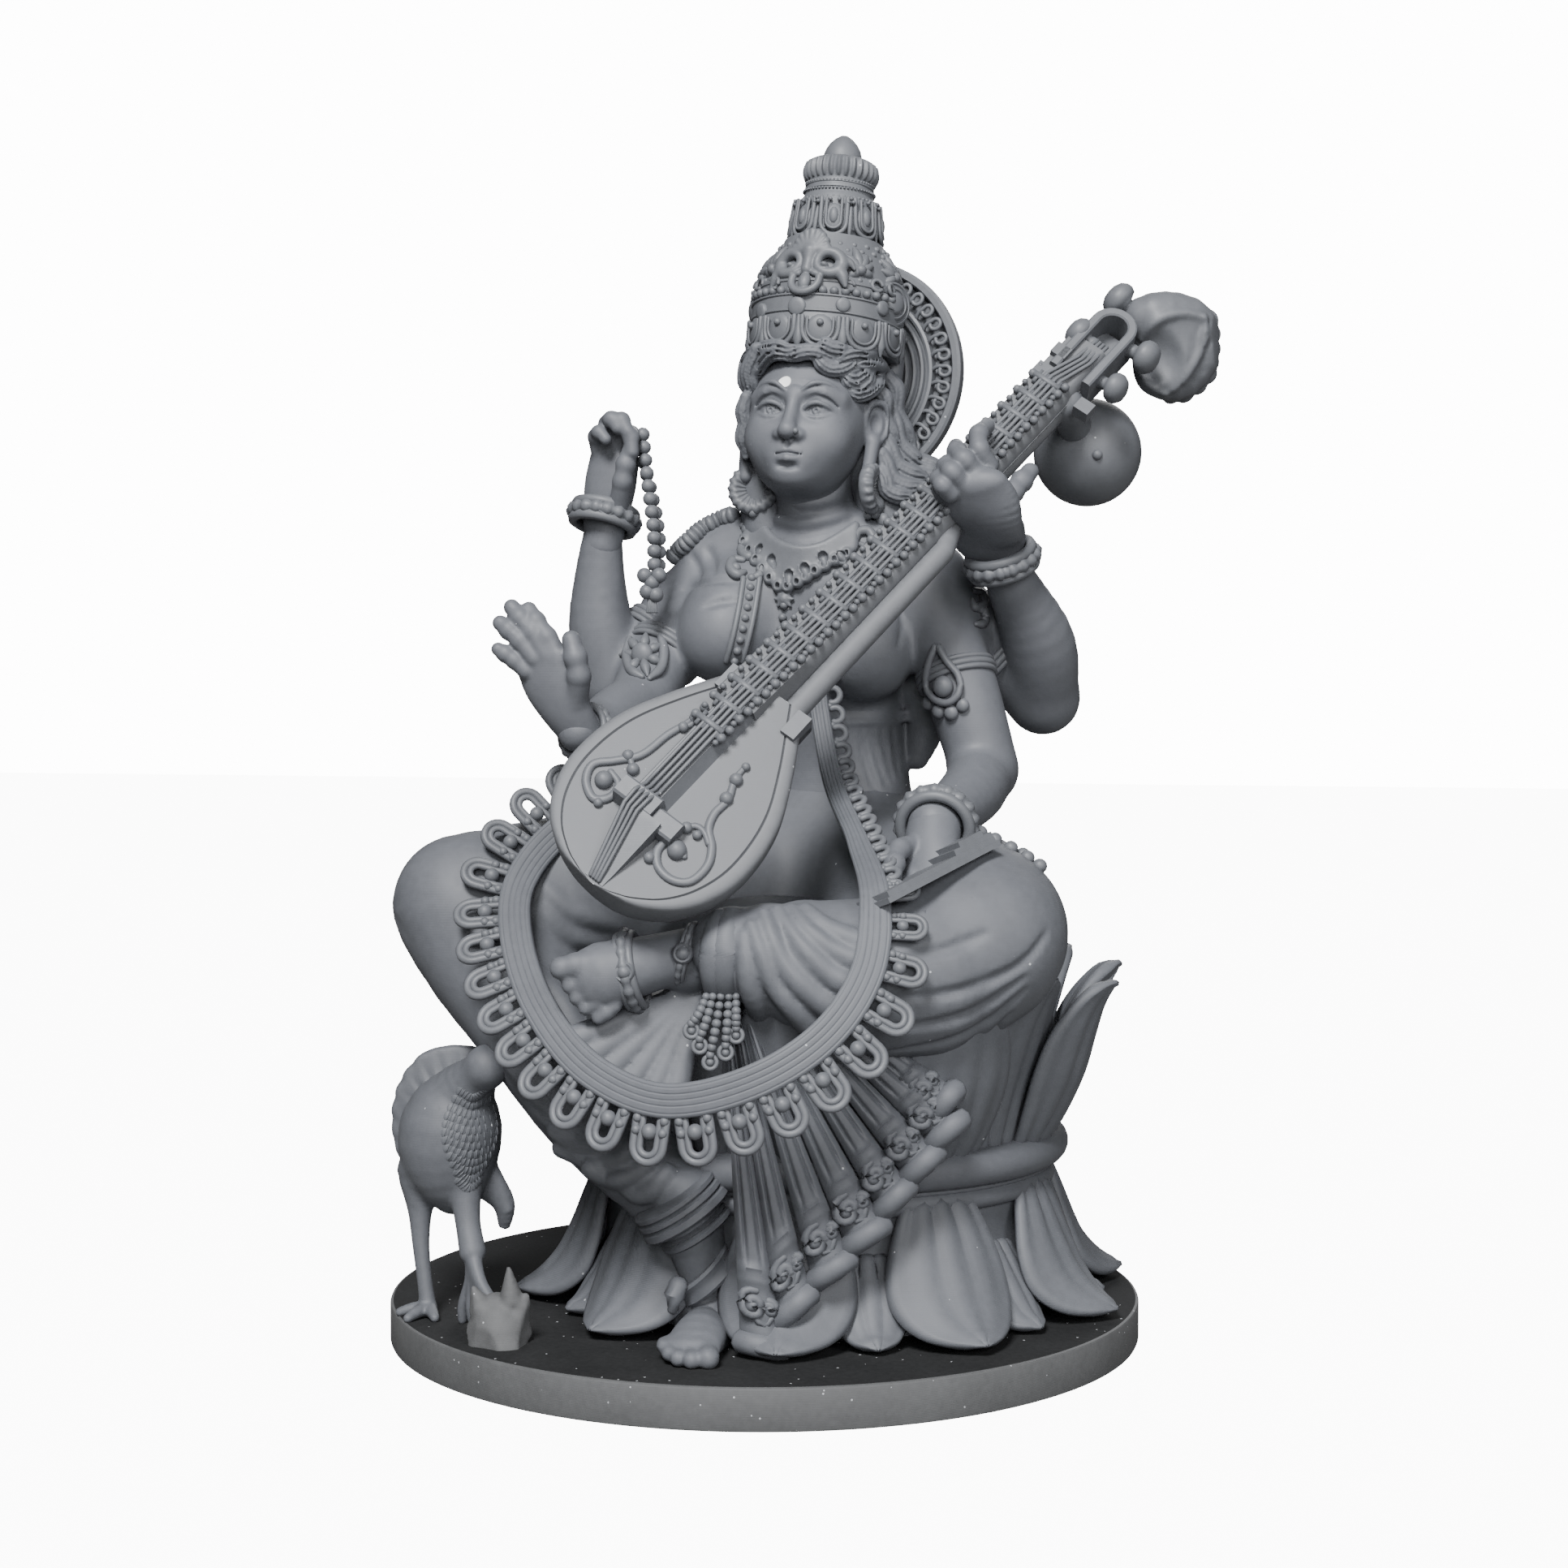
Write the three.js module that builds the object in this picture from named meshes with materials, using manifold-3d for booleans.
import * as THREE from 'three';
import { mergeVertices } from 'three/addons/utils/BufferGeometryUtils.js';
import Module from 'manifold-3d';

// Round base, millimetres
const BASE_RADIUS = 50;
const BASE_THICKNESS = 5.2;
const BASE_SEGMENTS = 52;
const RIM_MARGIN = 0.4;

// Whole piece from the underside of the base to the tip of the crown, millimetres
const OVERALL_HEIGHT = 161.3;

// The figure is drawn in units of its own height above the deck of the base
const FIGURE_UNITS = 156.1;
const UNIT = (OVERALL_HEIGHT - BASE_THICKNESS) / FIGURE_UNITS;

// Lotus seat: axis, heights above the deck, reach of the petals from the rim of the base
const LOTUS_X = 7.3;
const LOTUS_Y = 3.4;
const LOTUS_SEAT = 39.5;
const LOTUS_BAND_LOW = 15;
const LOTUS_BAND_HIGH = 23.4;
const LOTUS_REACH = (BASE_RADIUS - RIM_MARGIN) / UNIT - Math.hypot(LOTUS_X, LOTUS_Y);
const LOTUS_PETALS = 10;
const LOTUS_TURN = -2;

// Swan: place on the base as shares of its radius
const SWAN_X = -0.585;
const SWAN_Y = -0.625;

// Head, crown and halo
const HEAD_YAW = 8;
const CROWN_FOOT = [5.2, 6.6, 125.2];
const CROWN_TOP = [6.9, 9.8, FIGURE_UNITS];
const CROWN_FLUTES = 8;
const HALO_RADIUS = 16.4;
const HALO_THICKNESS = 2.4;

// Veena: bowl centre, head end of the neck, where the board looks, half width, depth of the bowl
const VEENA_BOWL = [7.8, -38.3, 66.9];
const VEENA_HEAD = [43, 13.4, 125.2];
const VEENA_FACING = [0.35, -0.84, 0.42];
const VEENA_HALF_WIDTH = 12.3;
const VEENA_DEPTH = 10.5;
const VEENA_NECK_HALF = 3.6;
const GOURD_RADIUS = 7.3;

// Hanging sash with its lace
const SASH_WIDTH = 4.2;
const SASH_THICKNESS = 2.2;
const LACE_DEPTH = 4.4;
const LACE_PITCH = 4.4;

// Bangles: ring radius of each wrist and the tube of all four
const BANGLE_TUBE = 1.3;
const BANGLE_RADIUS = 3.8;

const FRONT = new THREE.Vector3(0, -1, 0);
const UP = new THREE.Vector3(0, 0, 1);

const wasm = await Module();
wasm.setup();

/** Point in figure units, measured from the deck of the base. */
function at(x, y, z) {
  return new THREE.Vector3(x, y, z);
}

/** Signed volume of an indexed geometry. */
function signedVolume(geometry) {
  const position = geometry.attributes.position;
  const index = geometry.index;
  const [a, b, c] = [new THREE.Vector3(), new THREE.Vector3(), new THREE.Vector3()];
  let sum = 0;
  for (let i = 0; i < index.count; i += 3) {
    a.fromBufferAttribute(position, index.getX(i));
    b.fromBufferAttribute(position, index.getX(i + 1));
    c.fromBufferAttribute(position, index.getX(i + 2));
    sum += a.dot(b.cross(c)) / 6;
  }
  return sum;
}

/** Closed geometry as a solid that can be joined and cut. */
function solid(geometry) {
  const shape = geometry.clone();
  shape.deleteAttribute('normal');
  shape.deleteAttribute('uv');
  const merged = mergeVertices(shape, 1e-4);
  const index = Array.from(merged.index.array);
  const flipped = signedVolume(merged) < 0;
  const triangles = [];
  for (let i = 0; i < index.length; i += 3) {
    const [a, b, c] = index.slice(i, i + 3);
    if (a === b || b === c || a === c) continue;
    triangles.push(...(flipped ? [a, c, b] : [a, b, c]));
  }
  const mesh = new wasm.Mesh({
    numProp: 3,
    vertProperties: Float32Array.from(merged.attributes.position.array),
    triVerts: Uint32Array.from(triangles),
  });
  return new wasm.Manifold(mesh);
}

/** Solids joined two by two. */
function joined(solids) {
  let row = solids.slice();
  while (row.length > 1) {
    const next = [];
    for (let i = 0; i < row.length; i += 2) {
      next.push(i + 1 < row.length ? row[i].add(row[i + 1]) : row[i]);
    }
    row = next;
  }
  return row[0];
}

/** Every vertex of a geometry put through a rule. */
function warp(geometry, rule) {
  const position = geometry.attributes.position;
  const point = new THREE.Vector3();
  for (let i = 0; i < position.count; i += 1) {
    point.fromBufferAttribute(position, i);
    const moved = rule(point, i);
    position.setXYZ(i, moved.x, moved.y, moved.z);
  }
  return geometry;
}

/** Value at share t of a list of equally spaced values. */
function blend(values, t) {
  const place = Math.min(Math.max(t, 0), 1) * (values.length - 1);
  const low = Math.min(Math.floor(place), values.length - 2);
  return THREE.MathUtils.lerp(values[low], values[low + 1], place - low);
}

/** Side and face directions square to a tangent. */
function crossFrame(tangent, facing) {
  const side = new THREE.Vector3().crossVectors(tangent, facing);
  if (side.length() < 0.05) side.crossVectors(tangent, new THREE.Vector3(1, 0, 0));
  side.normalize();
  const face = new THREE.Vector3().crossVectors(side, tangent).normalize();
  return [side, face];
}

/** Limb through stops of x, y, z, half width and half depth; flute swells every other side. */
function limb(stops, sides = 8, rings = 3, facing = FRONT, flute = 0) {
  const spine = new THREE.CatmullRomCurve3(stops.map((s) => at(s[0], s[1], s[2])));
  const widths = stops.map((s) => s[3]);
  const depths = stops.map((s) => s[4] ?? s[3]);
  const rows = rings + 2;
  return warp(new THREE.SphereGeometry(1, sides, rows), (point, i) => {
    const row = Math.floor(i / (sides + 1));
    const column = i % (sides + 1);
    const angle = (2 * Math.PI * column) / sides;
    const t = THREE.MathUtils.clamp((row - 1) / rings, 0, 1);
    const beyond = row === 0 ? -0.6 : row === rows ? 0.6 : 0;
    const size = beyond === 0 ? 1 + (column % 2 === 0 ? flute : 0) : 0;
    const width = blend(widths, t);
    const depth = blend(depths, t);
    const tangent = spine.getTangent(t);
    const [side, face] = crossFrame(tangent, facing);
    return spine.getPoint(t)
      .addScaledVector(tangent, beyond * Math.min(width, depth))
      .addScaledVector(side, Math.cos(angle) * width * size)
      .addScaledVector(face, Math.sin(angle) * depth * size);
  });
}

/** Ellipsoid from a centre and three half sizes. */
function ball(centre, halves, sides = 8, rows = 6, turn = [0, 0, 0]) {
  const geometry = new THREE.SphereGeometry(1, sides, rows).rotateX(Math.PI / 2);
  geometry.scale(...halves);
  geometry.rotateX(turn[0]).rotateY(turn[1]).rotateZ(turn[2]);
  return geometry.translate(...centre);
}

/** Leaf or band: a box bent along stops of x, y, z, width and thickness. */
function leaf(stops, facing, across = 2, along = 4, cup = 0) {
  const spine = new THREE.CatmullRomCurve3(stops.map((s) => at(s[0], s[1], s[2])));
  const widths = stops.map((s) => s[3]);
  const depths = stops.map((s) => s[4]);
  return warp(new THREE.BoxGeometry(1, 1, 1, across, 1, along), (point) => {
    const t = THREE.MathUtils.clamp(point.z + 0.5, 0, 1);
    const look = typeof facing === 'function' ? facing(t) : facing;
    const [side, face] = crossFrame(spine.getTangent(t), look);
    const edge = 4 * point.x * point.x;
    const depth = blend(depths, t);
    return spine.getPoint(t)
      .addScaledVector(side, point.x * blend(widths, t))
      .addScaledVector(face, point.y * depth * (1 - 0.45 * edge) - cup * depth * edge);
  });
}

/** Ring of round section around an axis. */
function hoop(centre, axis, radius, tube, sides = 7) {
  const geometry = new THREE.TorusGeometry(radius, tube, 4, sides);
  const direction = new THREE.Vector3(...axis).normalize();
  geometry.applyQuaternion(new THREE.Quaternion().setFromUnitVectors(UP, direction));
  return geometry.translate(...centre);
}

/** Disc the figure stands on, in millimetres. */
function baseDisc() {
  const disc = new THREE.CylinderGeometry(BASE_RADIUS, BASE_RADIUS, BASE_THICKNESS, BASE_SEGMENTS);
  return disc.rotateX(Math.PI / 2).translate(0, 0, BASE_THICKNESS / 2);
}

/** Lotus as one turned body whose rows swell into petals: low ring, rope band, upper ring. */
function lotus() {
  const spread = LOTUS_REACH;
  const band = spread * 0.782;
  const low = LOTUS_BAND_LOW;
  const high = LOTUS_BAND_HIGH;
  const middle = (low + high) / 2;
  const even = (r, z) => [[r, z], [r, z], [r, z]];
  const rows = [
    even(0, -1), even(band - 3, -1),
    [[spread, 0.3], [spread * 0.86, 0.3], [spread * 0.8, 0.3]],
    [[spread * 0.95, 5.2], [spread * 0.865, 5.2], [spread * 0.8, 5.2]],
    [[spread * 0.87, 11], [spread * 0.835, 11], [spread * 0.785, 11]],
    even(band - 1.4, low), even(band - 0.5, low + 1.6), even(band - 1.6, middle),
    even(band + 0.2, middle + 1.6), even(band - 2.4, high),
    [[spread * 0.87, 30], [spread * 0.845, 29], [spread * 0.77, 28]],
    [[spread * 0.92, 36.4], [spread * 0.9, 35], [spread * 0.8, 32]],
    [[spread, LOTUS_SEAT + 3.6], [spread * 0.91, LOTUS_SEAT - 0.4], [spread * 0.82, LOTUS_SEAT - 5.6]],
    [[spread * 0.91, LOTUS_SEAT + 0.6], [spread * 0.85, LOTUS_SEAT - 2], [spread * 0.77, LOTUS_SEAT - 6]],
    even(spread * 0.75, LOTUS_SEAT - 5), even(0, LOTUS_SEAT),
  ];
  const points = rows.map((row) => new THREE.Vector2(row[0][0], row[0][1]));
  const body = new THREE.LatheGeometry(points, 4 * LOTUS_PETALS);
  return [warp(body, (p, i) => {
    const row = rows[i % rows.length];
    const column = Math.floor(i / rows.length);
    const [r, z] = row[[0, 1, 2, 1][column % 4]];
    const angle = THREE.MathUtils.degToRad(LOTUS_TURN) + (Math.PI * column) / (2 * LOTUS_PETALS);
    return at(LOTUS_X + r * Math.cos(angle), LOTUS_Y + r * Math.sin(angle), z);
  })];
}

/** Both legs under their cloth, the bare ankle and the feet. */
function legs() {
  const tilted = new THREE.Vector3(0.3, 0.1, 1);
  const parts = [
    limb([[1, 8, 51, 12], [-13.2, -8.3, 53.4, 11.4], [-25.8, -20.9, 53, 10], [-32, -26.5, 52, 7.6]], 10, 3, UP),
    limb([[-31.6, -26, 54, 7.4], [-28.4, -26, 49, 8.7], [-21.2, -26.4, 39.6, 8.4], [-9.8, -27.7, 27, 7.2],
      [-1, -28.6, 19, 5.6]], 10, 4, FRONT, 0.05),
    limb([[-2, -28.6, 20, 4.8], [2.7, -28.5, 14.9, 4.1], [5.3, -28.4, 4.4, 3.4]], 8, 2),
    limb([[9, 8, 52, 12], [22, 0, 52.4, 11.4], [33, -10.6, 51, 11], [38, -15, 49.6, 7.4]], 10, 3, UP),
    limb([[37.4, -11.4, 48.6, 8], [34, -14.6, 48.2, 10.8], [29, -22.3, 45.4, 10], [20.9, -30.4, 47, 7.8],
      [12.6, -35.6, 49.4, 5]], 14, 4, UP, 0.07),
    limb([[5.4, -25, 2.6, 3, 3], [6.6, -31, 3.2, 3.4, 3.2], [8.1, -36.4, 2, 4.1, 2.2], [8.7, -41.4, 1.2, 3.6, 1.3]], 7, 3, UP),
    limb([[11.5, -36.4, 49.4, 3.4], [4.2, -39.6, 47.4, 3.6, 3.8], [-2, -41.6, 46, 2.8, 3.6],
      [-5.8, -43, 46, 1.5, 3.4]], 7, 3, tilted),
  ];
  return parts;
}

/** Fan of pleats as one folded sheet whose hem climbs in steps to the right. */
function pleatFan() {
  const folds = 7;
  return warp(new THREE.BoxGeometry(1, 1, 1, 2 * folds, 1, 3), (p) => {
    const s = p.x + 0.5;
    const t = 0.5 - p.z;
    const ridge = Math.round(s * 2 * folds) % 2 === 1 ? 1 : 0;
    const top = at(7.4 + 6 * s, -32.4 + 2.4 * s, 42 - 4 * s);
    const hem = at(9 + 20 * s, -34.6 + 11.4 * s, 0.4 + 30.5 * Math.pow(s, 1.15) - 0.8 * ridge);
    const point = top.lerp(hem, t);
    const out = new THREE.Vector3(0.4 + 0.3 * s, -0.9, 0.15).normalize();
    const bow = 2.6 * Math.sin(Math.PI * t);
    return point.addScaledVector(out, p.y * 9 + bow + ridge * (0.7 + 1.2 * t) - 3.3);
  });
}

/** Cloth: skirt block, fan of pleats, knot, tassel and ankle cuff. */
function drapery() {
  return [
    limb([[10, -20, 44, 12, 11], [12, -24, 24, 11, 8], [13.5, -24.5, 2, 8, 8]], 7, 2),
    pleatFan(),
    limb([[12.4, -38.4, 53.8, 3, 2.4], [12.2, -38.2, 46, 3.2, 2.6]], 6, 1),
    leaf([[11.6, -39.6, 45.4, 2.4, 1.6], [11.4, -39.8, 41, 6.2, 1.6], [11.2, -39.4, 36.6, 1.6, 1.4]], FRONT, 1, 2),
    limb([[-3.4, -28.8, 22.6, 5, 5], [-1, -28.8, 19.6, 5.8, 5.4], [0.8, -28.8, 17, 5.6, 5.2]], 10, 2, FRONT, 0.05),
  ];
}

/** Torso, neck and breasts. */
function torso() {
  return [
    limb([
      [6.5, 9.5, 44, 13, 10.5], [6.5, 9.6, 54, 12.8, 10], [6.9, 9.8, 62, 10.8, 8.2], [6.8, 9.8, 70, 9.6, 7.2],
      [5.6, 8.8, 78, 10.6, 7.6], [4.2, 7.6, 86, 12.3, 7.8], [3.8, 7.3, 92.5, 13.2, 6.6], [3.9, 7.2, 98, 6.2, 5.2],
    ], 10, 6),
    limb([[3.9, 7.3, 97, 5.6], [4.6, 5.6, 103, 4.9], [5, 4.6, 108.4, 5]], 8, 2),
    ball([-6.4, 1.1, 87.6], [6.2, 6.2, 6.2], 8, 5),
    ball([14.2, 1.1, 85.2], [6.4, 6.4, 6.4], 8, 5),
  ];
}

/** Four arms from the shoulders to the wrists. */
function arms() {
  return [
    limb([[-5, 8, 95, 4.8], [-13.4, 6.9, 94, 5.2], [-18.4, 1.6, 87, 4.6], [-22.6, -1.4, 81.8, 4.5]], 7, 3),
    limb([[-22.6, -1.6, 81.6, 4.4], [-23, -3.8, 91, 4.2], [-21.8, -5.6, 100.6, 2.9]], 7, 2),
    limb([[-12.8, 6, 92.6, 4.9], [-15.6, -0.6, 85, 4.7], [-14.6, -8, 78.4, 4.4]], 7, 2),
    limb([[-14.6, -8, 78.2, 4.3], [-14, -17.6, 75.8, 3.9], [-13.1, -26.8, 74.8, 2.8]], 7, 2, UP),
    limb([[13, 8, 94, 4.8], [20.9, 8, 92.8, 5.2], [26.6, 14.4, 86.4, 4.9], [32.6, 18.6, 80.6, 4.8]], 7, 3),
    limb([[32.6, 18.2, 80.6, 4.9], [33.8, 11.6, 88, 4.8], [32.8, 3.4, 95.6, 3.1]], 7, 2),
    limb([[20.6, 7, 91.6, 5], [24.2, 4.8, 81, 4.8], [28.8, 5.8, 69.8, 4.3]], 7, 2),
    limb([[28.8, 5.4, 69.6, 4.2], [30, -4.4, 66.2, 3.9], [29.6, -12.6, 64, 2.9]], 7, 2, UP),
  ];
}

/** Fingers of one hand from a list of root, middle and tip points. */
function fingers(rows, size = 1) {
  return rows.map(([root, middle, tip]) => limb([
    [...root, 1.15 * size], [...middle, 0.95 * size], [...tip, 0.6 * size],
  ], 4, 2));
}

/** Four hands and the palm leaf book. */
function hands() {
  const parts = [
    limb([[-21.6, -5.7, 101, 3, 2.6], [-20.6, -6, 106.6, 3.7, 2.3], [-19.4, -5.8, 111.4, 3.8, 2]], 5, 2),
    limb([[-13.1, -27.4, 75.4, 2.9, 2.4], [-14.6, -29.4, 79, 3.7, 2], [-15.9, -30.6, 83, 3.8, 1.6]], 5, 2),
    limb([[32.7, 2.6, 96.6, 3.1, 2.8], [31.8, -1.2, 102, 3.9, 2.6], [31.6, -3.6, 106, 3.8, 2.2]], 5, 2),
    limb([[29.8, -13.4, 63.2, 3, 2.7], [30.6, -16.4, 59.4, 3.4, 2.8], [31, -18.4, 56, 3.4, 2.4]], 5, 2),
  ];
  parts.push(...fingers([
    [[-21.6, -6.4, 112], [-21.2, -8.2, 115.4], [-18, -9.2, 115.6]],
    [[-20.3, -6.2, 112.6], [-19.4, -8.2, 116.8], [-16.6, -9, 116.2]],
    [[-18.8, -5.8, 112.4], [-17.6, -7.6, 116.6], [-15.6, -8.6, 114.6]],
    [[-17.4, -5.2, 111.4], [-15.9, -6.4, 114.8], [-14.9, -7.8, 112.6]],
    [[-18, -7.6, 105.6], [-16.6, -8.8, 109], [-16, -8.8, 112.2]],
  ]));
  parts.push(...fingers([
    [[-13.9, -30.6, 84.2], [-16, -31.1, 87.4], [-18.2, -30.9, 89.6]],
    [[-15.4, -31.2, 84.6], [-17.8, -31.7, 87.6], [-20.2, -31.7, 89.8]],
    [[-17, -31.6, 83.8], [-19.3, -32.3, 86.2], [-21.4, -32.3, 87.9]],
    [[-18.1, -31.6, 82], [-19.7, -32.6, 83.6], [-21.1, -33.1, 84.9]],
    [[-12, -29.6, 79.2], [-10.9, -31, 83], [-12, -31.2, 85.8]],
  ]));
  parts.push(...fingers([
    [[30.6, -3.8, 101.4], [29.2, -9.4, 102.8], [29.4, -12, 106]],
    [[31.2, -4.6, 104], [30.2, -9.8, 105.4], [30.8, -11.2, 108]],
    [[32.2, -4.8, 106.4], [31.4, -9.4, 108.4], [31.6, -9.9, 110.8]],
    [[33.2, -3.8, 108], [33, -7.4, 111.2], [33.7, -6.6, 113]],
    [[34.4, 1.4, 101.4], [36.6, 2.6, 105.6], [37, 3.6, 108.6]],
  ]));
  parts.push(...fingers([
    [[29, -19.2, 56.6], [27.8, -24, 53.4], [28.6, -27.4, 52.4]],
    [[30.4, -19.4, 56], [30, -24, 52.6], [31, -26.6, 52.2]],
    [[31.8, -18.8, 55.6], [32.6, -22.8, 52.8], [33.4, -24.8, 53]],
    [[33.2, -17.6, 56], [34.8, -20.6, 54], [35.4, -22.4, 54.4]],
    [[28.6, -17.6, 61.2], [27.9, -21.4, 59.8], [28.8, -24.6, 57.4]],
  ]));
  parts.push(leaf([[26.4, -30, 53.8, 7, 3], [32, -22.6, 57, 7, 3], [37.6, -15.2, 60.4, 7, 3]], UP, 1, 1));
  return parts;
}

/** Head, hair, ears, hoops, crown and halo. */
function headAndCrown() {
  const yaw = THREE.MathUtils.degToRad(HEAD_YAW);
  const skull = warp(new THREE.SphereGeometry(1, 10, 8).rotateX(Math.PI / 2), (p) => {
    const low = Math.max(-p.z, 0);
    const front = Math.max(-p.y, 0);
    const width = 8.3 * (1 - 0.34 * Math.pow(low, 1.5));
    const depth = 9 * (1 - 0.12 * low);
    const shape = new THREE.Vector3(p.x * width, p.y * depth + 0.6 * front * low, p.z * 10.6);
    return shape.applyAxisAngle(UP, yaw).add(at(4.9, 4, 116.6));
  });
  const nose = ball([6.1, -4.6, 114.6], [1, 1.6, 2.2], 4, 3, [0.35, 0, yaw]);
  const parts = [skull, nose];
  parts.push(ball([5.3, 9, 114], [9.8, 6.4, 11.5], 7, 4));
  parts.push(limb([[13, 6.6, 121, 3], [14.4, 6.6, 114, 3.5], [17.6, 7, 107, 3.3], [22, 7.4, 101, 2.6]], 6, 2));
  parts.push(limb([[-2.4, 8.4, 120, 3], [-4, 8.6, 111, 3.2], [-8.4, 8.8, 103, 3], [-11, 8.8, 98, 2.2]], 6, 2));
  parts.push(hoop([12.7, 3.4, 107.9], [0.8, -0.6, 0.1], 2.7, 1));
  parts.push(hoop([-3, 2.8, 107.9], [0.25, -1, 0.1], 2.7, 1));
  parts.push(...crown());
  return parts;
}

/** Fluted crown turned about its own leaning axis, with plaque, bosses and halo. */
function crown() {
  const foot = at(...CROWN_FOOT);
  const top = at(...CROWN_TOP);
  const height = top.distanceTo(foot);
  const lean = new THREE.Quaternion().setFromUnitVectors(UP, top.clone().sub(foot).normalize());
  const profile = [
    [0, -0.04, 0], [0.34, -0.04, 0], [0.36, 0.04, 0.03], [0.342, 0.16, 0], [0.35, 0.2, 0],
    [0.345, 0.26, 0], [0.3, 0.37, 0], [0.222, 0.5, 0.02], [0.2, 0.52, 0.02],
    [0.172, 0.67, 0], [0.15, 0.72, 0], [0.172, 0.79, 0.012],
    [0.13, 0.85, 0], [0.052, 0.87, 0], [0.086, 0.905, 0], [0, 1, 0],
  ];
  const segments = 2 * CROWN_FLUTES;
  const points = profile.map(([r, z]) => new THREE.Vector2(r * height, z * height));
  const body = new THREE.LatheGeometry(points, segments).rotateX(Math.PI / 2);
  warp(body, (p, i) => {
    const step = profile[i % profile.length];
    const column = Math.floor(i / profile.length);
    const reach = Math.hypot(p.x, p.y);
    const swell = column % 2 === 0 ? step[2] * height : 0;
    const scale = reach > 0 ? (reach + swell) / reach : 1;
    return new THREE.Vector3(p.x * scale, p.y * scale, p.z).applyQuaternion(lean).add(foot);
  });
  const yaw = THREE.MathUtils.degToRad(HEAD_YAW);
  const ahead = new THREE.Vector3(Math.sin(yaw), -Math.cos(yaw), 0);
  const axisPoint = (share) => foot.clone().lerp(top, share);
  const reachPoint = (share, reach) => {
    const p = axisPoint(share).addScaledVector(ahead, reach);
    return p.toArray();
  };
  const plaque = leaf([
    [...reachPoint(0.24, 10.4), 8, 2], [...reachPoint(0.4, 9.6), 10.4, 2.2], [...reachPoint(0.53, 7.4), 3, 1.6],
  ], ahead, 1, 2);
  const across = new THREE.Vector3(Math.cos(yaw), Math.sin(yaw), 0);
  const parts = [body, plaque];
  for (const hand of [-1, 1]) {
    const boss = new THREE.CylinderGeometry(2.1, 2.7, 3, 7).rotateZ(-hand * Math.PI / 2).rotateZ(yaw);
    const place = axisPoint(0.25).addScaledVector(across, hand * 10.2);
    parts.push(boss.translate(place.x, place.y, place.z));
  }
  const halo = new THREE.CylinderGeometry(HALO_RADIUS, HALO_RADIUS, HALO_THICKNESS, 22);
  halo.rotateX(THREE.MathUtils.degToRad(-4));
  const back = at(5.2, 16.8, 124.8);
  parts.push(halo.translate(back.x, back.y, back.z));
  return parts;
}

/** Directions and origin of the veena: along the neck, across the board and out of it. */
function veenaFrame() {
  const origin = at(...VEENA_BOWL);
  const along = at(...VEENA_HEAD).sub(origin);
  const reach = along.length();
  along.normalize();
  const [across, out] = crossFrame(along, new THREE.Vector3(...VEENA_FACING));
  const place = (a, b, c) => {
    const p = origin.clone().addScaledVector(along, a).addScaledVector(across, b).addScaledVector(out, c);
    return p.toArray();
  };
  return { along, across, out, reach, place };
}

/** Pear outline of the veena board: half width at share t from foot to neck. */
function pearHalfWidth(t) {
  const round = Math.sqrt(Math.max(0, 1 - Math.pow(1 - Math.min(t, 0.45) / 0.45, 2)));
  const taper = THREE.MathUtils.smoothstep(t, 0.42, 1);
  return VEENA_HALF_WIDTH * round * (1 - taper) + 3.9 * taper;
}

/** Veena: bowl, board, neck, pegs, curled head and second gourd. */
function veena() {
  const { along, out, reach, place } = veenaFrame();
  const length = 33;
  const start = -16;
  const bowl = warp(new THREE.SphereGeometry(1, 10, 8).rotateX(Math.PI / 2), (p) => {
    const t = (p.z + 1) / 2;
    const flat = Math.sqrt(Math.max(0, 1 - p.z * p.z));
    const share = flat > 1e-6 ? pearHalfWidth(t) / flat : 0;
    const depth = p.y > 0 ? VEENA_DEPTH * (1 - 0.55 * t) : 1.1;
    const q = place(start + t * length, p.x * share, flat > 1e-6 ? -(p.y / flat) * depth * Math.sqrt(flat) : 0);
    return at(...q);
  });
  const parts = [bowl];
  parts.push(limb([
    [...place(8, 0, -1.6), 3.9, 3], [...place(40, 0, -1.6), VEENA_NECK_HALF, 2.8],
    [...place(reach - 4, 0, -1.4), VEENA_NECK_HALF - 0.4, 2.4],
  ], 6, 1, out));
  const board = (a, b, wide, deep, lift) => leaf([
    [...place(a, 0, lift), wide, deep], [...place((a + b) / 2, 0, lift), wide, deep], [...place(b, 0, lift), wide, deep],
  ], out, 1, 1);
  parts.push(board(6, reach - 6, 4.4, 2.8, 1.6));
  parts.push(board(-7.4, -3.8, 6, 2.4, 1.4));
  parts.push(board(-16.4, -6, 2.4, 2.2, 1.2));
  parts.push(board(reach - 7, reach + 2.4, 8, 5.4, 0));
  for (const [a, b, c, r] of [[-4, -5.4, 1, 1.5], [-3, 6, -0.4, 1.7], [2.6, 5.6, -1.4, 1.5], [1.6, -6.4, 0.6, 1.9]]) {
    parts.push(limb([[...place(reach + a, 0, c), 0.9], [...place(reach + a, b, c), r]], 4, 1));
  }
  parts.push(limb([
    [...place(reach + 1, 0, 0), 3.2, 2.6], [...place(reach + 5.4, -1.4, 0), 4, 3], [...place(reach + 9, 2.4, -0.4), 5, 3],
    [...place(reach + 7.2, 7.6, -0.8), 4.2, 2.6], [...place(reach + 1.6, 10.6, -1), 2.2, 1.8],
  ], 6, 4, out));
  parts.push(ball([38, 22.1, 112.8], [GOURD_RADIUS, GOURD_RADIUS, GOURD_RADIUS], 10, 7));
  parts.push(limb([[38.8, 19, 115, 2], [...place(reach - 9, 0, -2), 2]], 5, 1));
  return parts;
}

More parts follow.
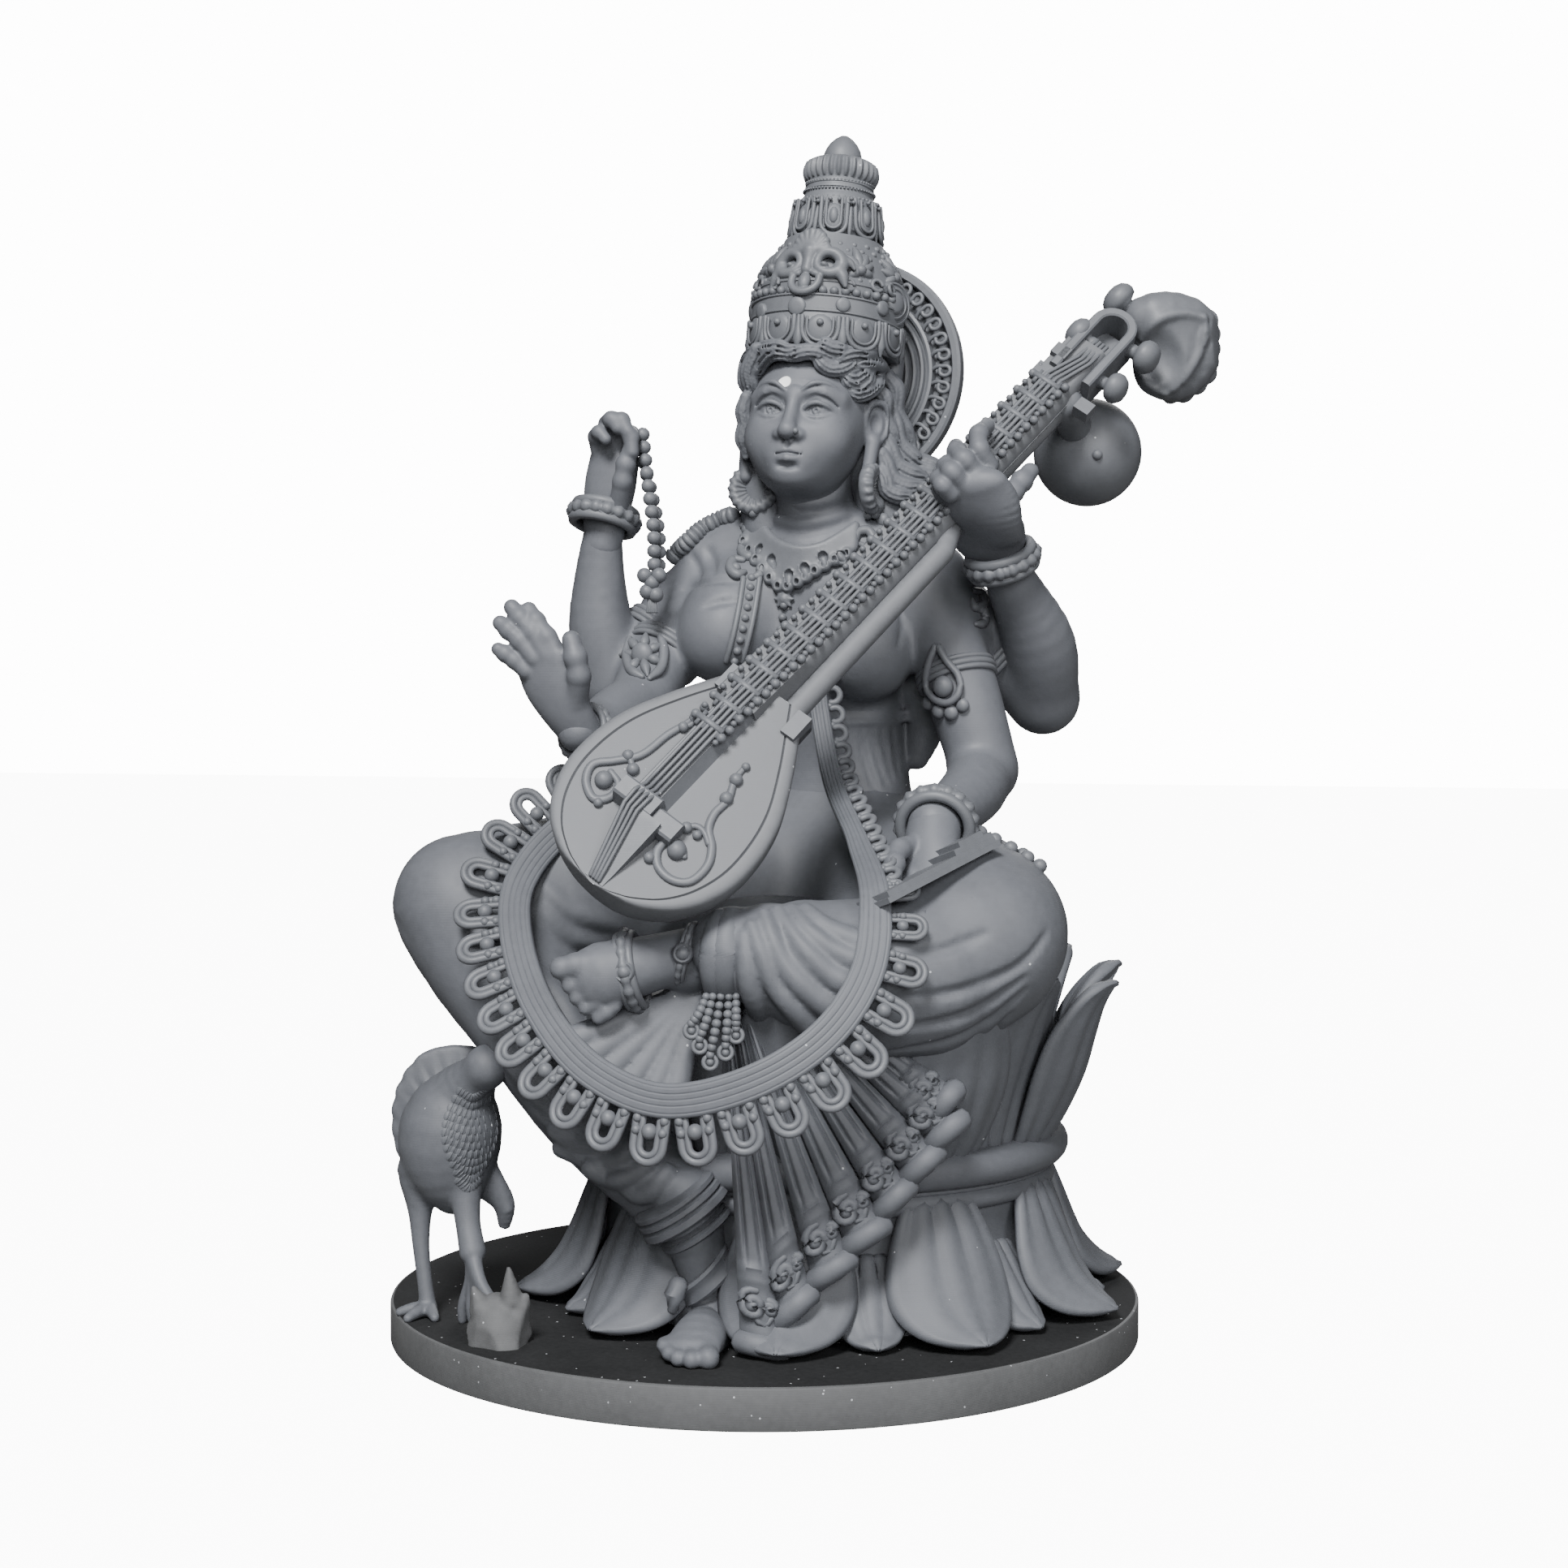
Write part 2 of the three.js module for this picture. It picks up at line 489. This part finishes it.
/** Sash hanging in a loop before the lap, its outer edge cut into lobes of lace. */
function sash() {
  const stops = [
    [15.2, -4.4, 84], [17.6, -4.6, 75], [21.4, -9.8, 67.4], [28, -20.4, 60.6], [31.6, -29.2, 54.6],
    [31, -35.2, 46.6], [27.2, -40.4, 39.4], [20.4, -45, 33.8], [9.8, -47.4, 31], [-0.4, -46.4, 33.8],
    [-9.6, -42.6, 40.8], [-16.6, -36.6, 49.4], [-19.8, -30.6, 55.6], [-18.6, -24, 61.4], [-13.6, -16.6, 66],
  ];
  const spine = new THREE.CatmullRomCurve3(stops.map((s) => at(...s)));
  const middle = at(7, -36, 56);
  const loops = Math.round(spine.getLength() / LACE_PITCH);
  const steps = 3 * loops;
  return [warp(new THREE.BoxGeometry(1, 1, 1, 1, 1, steps), (p) => {
    const step = Math.round((p.z + 0.5) * steps);
    const t = spine.getUtoTmapping(step / steps);
    const tangent = spine.getTangent(t);
    const [side, face] = crossFrame(tangent, new THREE.Vector3(0.42, -0.9, 0.1));
    const point = spine.getPoint(t);
    const away = side.dot(point.clone().sub(middle)) < 0 ? -1 : 1;
    const outer = p.x * away > 0;
    const depth = LACE_DEPTH * THREE.MathUtils.clamp(0.55 + 2.4 * t, 0.55, 1);
    const lobe = step % 3 === 0 ? 0 : depth;
    const reach = outer ? SASH_WIDTH / 2 + lobe : SASH_WIDTH / 2;
    const spread = lobe > 0 ? (step % 3 === 1 ? -0.1 : 0.1) * LACE_PITCH : 0;
    return point.addScaledVector(side, Math.sign(p.x) * reach)
      .addScaledVector(tangent, outer ? spread : 0)
      .addScaledVector(face, p.y * (outer ? SASH_THICKNESS * 0.7 : SASH_THICKNESS));
  })];
}

/** Swan at the foot of the lotus, with its legs and a broken stump of rock. */
function swan() {
  const parts = [
    limb([[0, 0, 17, 4], [-0.6, 0, 23, 7.2], [0.8, 0, 28.4, 4.4], [2, 0.6, 31.4, 2.5]], 8, 3),
    ball([3.5, 1.3, 33.2], [2.6, 2.8, 2.5], 6, 5),
    limb([[4.8, 0.4, 32.8, 1.1], [6.6, -0.4, 31.6, 0.8]], 4, 1),
    ball([-5.2, 3, 27.2], [4.6, 3.4, 7.4], 7, 5, [0, 0.35, 0.4]),
    limb([[2.9, 2, 20, 4, 3], [7.8, 4.4, 15.6, 2.6, 2]], 5, 1),
    limb([[-4.6, -1, 18.4, 1.9], [-4.2, -1.6, 10, 1.2], [-2.9, -1.8, 0.2, 1]], 5, 2),
    limb([[2.4, -1.4, 16.4, 2], [4.4, -2.8, 9.6, 1.5], [8.2, -5.2, 4.4, 2.2]], 5, 2),
    leaf([[10.8, -7.6, -0.6, 8.6, 9], [10.4, -7.4, 4, 7.4, 7.6], [9.8, -7, 7.6, 4.4, 4.6]],
      new THREE.Vector3(0.5, -0.86, 0.1), 1, 2),
  ];
  for (const [dx, dy] of [[-3.2, -1.6], [-0.4, -4], [2.6, -2.4]]) {
    parts.push(limb([[-2.9, -1.8, 0.6, 0.9], [-2.9 + dx, -1.8 + dy, 0.4, 0.6]], 4, 1));
  }
  return parts.map((part) => part.translate((SWAN_X * BASE_RADIUS) / UNIT, (SWAN_Y * BASE_RADIUS) / UNIT, 0));
}

/** Bangles, armlets, necklace, anklet and the string of prayer beads. */
function jewellery() {
  return [
    hoop([-21.6, -5.7, 103.6], [0.1, 0.5, 1], BANGLE_RADIUS, BANGLE_TUBE),
    hoop([-13.2, -27.6, 75.8], [-0.25, -0.6, 0.8], BANGLE_RADIUS * 0.8, BANGLE_TUBE * 0.8),
    hoop([32.6, 2, 97.4], [-0.1, -0.5, 0.9], BANGLE_RADIUS * 1.06, BANGLE_TUBE),
    hoop([29.8, -13.6, 63], [0.3, -0.9, 0.25], BANGLE_RADIUS * 0.95, BANGLE_TUBE),
    ball([24.6, 0.4, 80.4], [2.6, 1.6, 4.4], 5, 4),
    ball([-17.6, -3, 86.4], [2.8, 2, 3], 5, 4),
    limb([[-6, 2.4, 97, 1.6], [-2, 0.6, 93.6, 2], [2.6, 0.2, 91, 2.6], [8, 0.2, 93, 2], [13, 2.4, 96, 1.6]], 5, 4),
    limb([[-15.6, -5.2, 116.6, 1], [-14.2, -5, 104, 1.7, 1], [-15.2, -5, 92.4, 1.2, 1]], 5, 3),
    hoop([6.2, -39, 48.4], [-0.9, -0.3, -0.2], BANGLE_RADIUS * 0.87, BANGLE_TUBE * 0.85),
  ];
}

const figureParts = [
  lotus(), legs(), drapery(), torso(), arms(), hands(), headAndCrown(), veena(), sash(), swan(), jewellery(),
];
const standing = figureParts.map((parts) => joined(parts.map((part) => (
  solid(part.scale(UNIT, UNIT, UNIT).translate(0, 0, BASE_THICKNESS))
))));
const whole = joined([solid(baseDisc()), ...standing]);

/** Joined solid back as a drawable geometry. */
function geometryOf(manifold) {
  const mesh = manifold.getMesh();
  const geometry = new THREE.BufferGeometry();
  const stride = mesh.numProp;
  const position = new Float32Array((mesh.vertProperties.length / stride) * 3);
  for (let i = 0; i < position.length / 3; i += 1) {
    position.set(mesh.vertProperties.slice(i * stride, i * stride + 3), i * 3);
  }
  geometry.setAttribute('position', new THREE.BufferAttribute(position, 3));
  geometry.setIndex(new THREE.BufferAttribute(Uint32Array.from(mesh.triVerts), 1));
  geometry.computeVertexNormals();
  return geometry;
}

const group = new THREE.Group();
const resin = new THREE.MeshStandardMaterial({ color: 0x6c6f76, roughness: 0.62, metalness: 0 });
const figure = new THREE.Mesh(geometryOf(whole), resin);
figure.name = 'saraswati_figure';
group.add(figure);

export default group;
